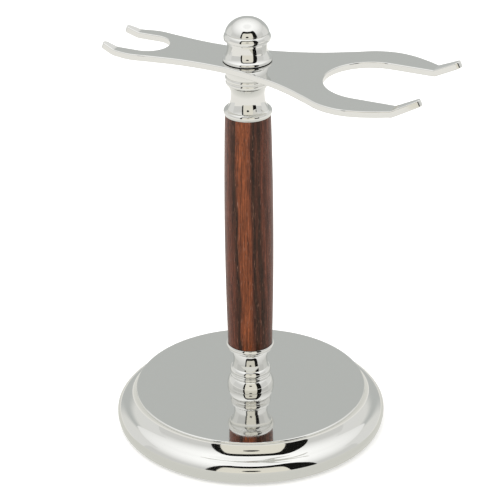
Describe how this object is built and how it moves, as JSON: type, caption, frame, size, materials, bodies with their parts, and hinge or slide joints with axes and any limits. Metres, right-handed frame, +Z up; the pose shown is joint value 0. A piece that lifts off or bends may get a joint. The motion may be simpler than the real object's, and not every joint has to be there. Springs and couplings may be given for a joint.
{
  "type": "razor stand",
  "caption": "Free-standing shaving stand: round weighted base, wood column and a forked plate that holds a brush and a razor, clamped by a screw-down finial.",
  "frame": {"origin": "on the column's axis, at the underside of the base pad, where the stand meets the table", "axes": "+Z up along the column, +X towards the wide brush fork, -X towards the narrow razor fork"},
  "size_m": [0.1206, 0.096, 0.1537],
  "materials": {
    "chrome_shell": "mirror-polished chrome plate over die-cast zinc",
    "chrome_couplers": "mirror-polished chrome plate over turned brass",
    "chrome_fork": "mirror-polished chrome plate over pressed steel",
    "chrome_finial": "mirror-polished chrome plate over turned brass",
    "iron_weight": "as cast, dark lacquer",
    "felt_pad": "dense black felt",
    "steel_rod": "zinc-plated thread",
    "steel_fasteners": "zinc plated",
    "brass_tube": "drawn tube",
    "brass_insert": "turned",
    "rosewood": "red-brown hardwood with dark grain, gloss lacquer",
    "black_nylon": "moulded"
  },
  "bodies": {
    "stand": {"base_shell": "chrome_shell", "base_weight": "iron_weight", "base_pad": "felt_pad", "tie_rod": "steel_rod", "rod_nut": "steel_fasteners", "spring_washer": "steel_fasteners", "flat_washer": "steel_fasteners", "lower_coupler": "chrome_couplers", "column_tube": "brass_tube", "wood_column": "rosewood", "upper_coupler": "chrome_couplers"},
    "fork": {"fork_plate": "chrome_fork"},
    "clamp_washer": {"finial_washer": "black_nylon"},
    "finial": {"finial_cap": "chrome_finial", "finial_insert": "brass_insert"}
  },
  "joints": [
    {"name": "fork_swivel", "type": "hinge", "parent": "stand", "child": "fork", "pos_m": [0, 0, 0.13756], "axis": [0, 0, 1], "continuous": true},
    {"name": "finial_rise", "type": "slide", "parent": "stand", "child": "clamp_washer", "axis": [0, 0, 1], "range_m": [0, 0.005]},
    {"name": "finial_turn", "type": "hinge", "parent": "clamp_washer", "child": "finial", "pos_m": [0, 0, 0.13896], "axis": [0, 0, 1], "range_deg": [0, 1800]}
  ],
  "couplings": [
    {"joint": "finial_rise", "follows": "finial_turn", "m_per_rad": 0.00015915}
  ]
}
